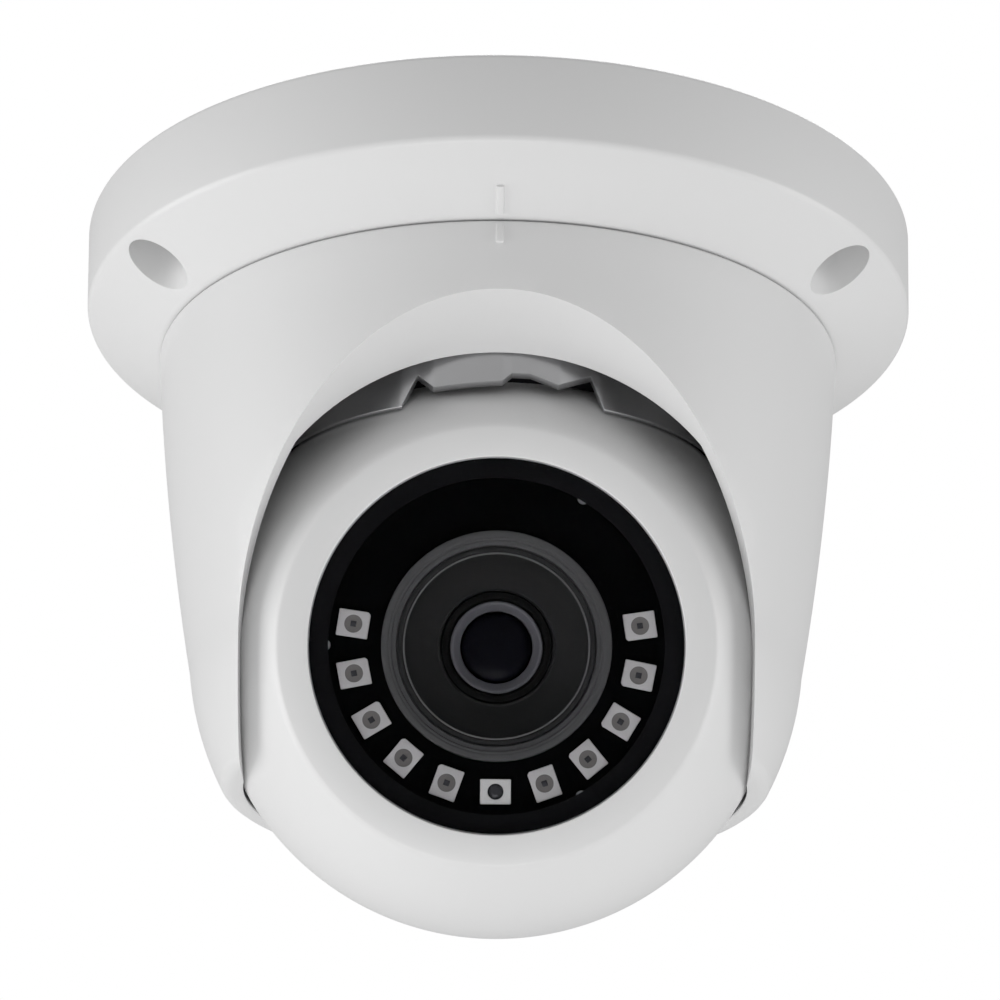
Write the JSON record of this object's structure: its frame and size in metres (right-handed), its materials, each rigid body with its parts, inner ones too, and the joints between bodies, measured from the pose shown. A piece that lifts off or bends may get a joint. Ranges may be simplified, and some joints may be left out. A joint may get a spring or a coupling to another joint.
{
  "type": "dome cctv camera",
  "caption": "Ceiling camera: a white flanged base, a bell-shaped turning cover and a ball that tilts, with a lens and infrared lamps behind a round black window.",
  "frame": {"origin": "centre of the circle of fixing holes, in the plane of the mounting face", "axes": "+Z out of the mounting face into the ceiling, so the camera hangs towards -Z; -Y is the way the lens looks"},
  "size_m": [0.0934, 0.0934, 0.0794],
  "materials": {
    "white_paint": "fine satin white paint",
    "foam": "closed-cell foam",
    "acetal": "moulded natural plastic",
    "zinc_steel": "zinc-plated steel",
    "cast_grey": "die-cast, unpainted",
    "clamp_steel": "pressed steel, satin",
    "black_rubber": "moulded rubber",
    "window_glass": "polished clear window",
    "sleeve_rubber": "dark grey rubber",
    "hood_plastic": "matte black plastic",
    "barrel_black": "black anodised",
    "lens_ring": "dark anodised ring",
    "lens_glass": "coated glass",
    "filter_glass": "coated filter glass",
    "sensor_chip": "glossy chip",
    "led_mask": "black board lacquer",
    "led_body": "pale lamp body with dark chip",
    "sensor_body": "white body with a dark eye",
    "board_green": "green board lacquer",
    "chip_black": "black moulded package",
    "pad_blue": "soft thermal pad",
    "spreader_aluminium": "plain aluminium"
  },
  "bodies": {
    "base": {"mounting_base": "white_paint", "base_seal": "foam", "slip_washer": "acetal", "swivel_keeper": "zinc_steel", "keeper_screws": "zinc_steel"},
    "turret": {"swivel_plate": "cast_grey", "clamp_ring": "clamp_steel", "clamp_screws": "zinc_steel", "friction_ring": "black_rubber"},
    "cover": {"trim_cover": "white_paint"},
    "eyeball": {"front_shell": "white_paint", "rear_shell": "white_paint", "shell_seal": "black_rubber", "shell_screws": "zinc_steel", "window": "window_glass", "window_seal": "black_rubber", "lens_sleeve": "sleeve_rubber", "lens_hood": "hood_plastic", "lens_barrel": "barrel_black", "lens_lock_ring": "hood_plastic", "lens_retainer": "lens_ring", "front_lens": "lens_glass", "rear_lens": "lens_glass", "lens_mount": "hood_plastic", "ir_cut_filter": "filter_glass", "image_sensor": "sensor_chip", "led_board": "led_mask", "ir_leds": "led_body", "light_sensor": "sensor_body", "led_board_screws": "zinc_steel", "front_spacers": "zinc_steel", "sensor_board": "board_green", "image_processor": "chip_black", "thermal_pad": "pad_blue", "heat_spreader": "spreader_aluminium", "rear_spacers": "zinc_steel", "power_board": "board_green", "power_parts": "chip_black", "board_connectors": "acetal", "spacer_screws": "zinc_steel", "cable_gland": "black_rubber"}
  },
  "joints": [
    {"name": "pan", "type": "hinge", "parent": "base", "child": "turret", "pos_m": [0, 0, -0.006], "axis": [0, 0, 1], "range_deg": [-180, 180]},
    {"name": "cover_twist", "type": "hinge", "parent": "turret", "child": "cover", "pos_m": [0, 0, -0.012], "axis": [0, 0, 1], "range_deg": [-32, 0]},
    {"name": "tilt", "type": "hinge", "parent": "turret", "child": "eyeball", "pos_m": [0, 0, -0.0482], "axis": [1, 0, 0], "range_deg": [-6, 72]}
  ]
}
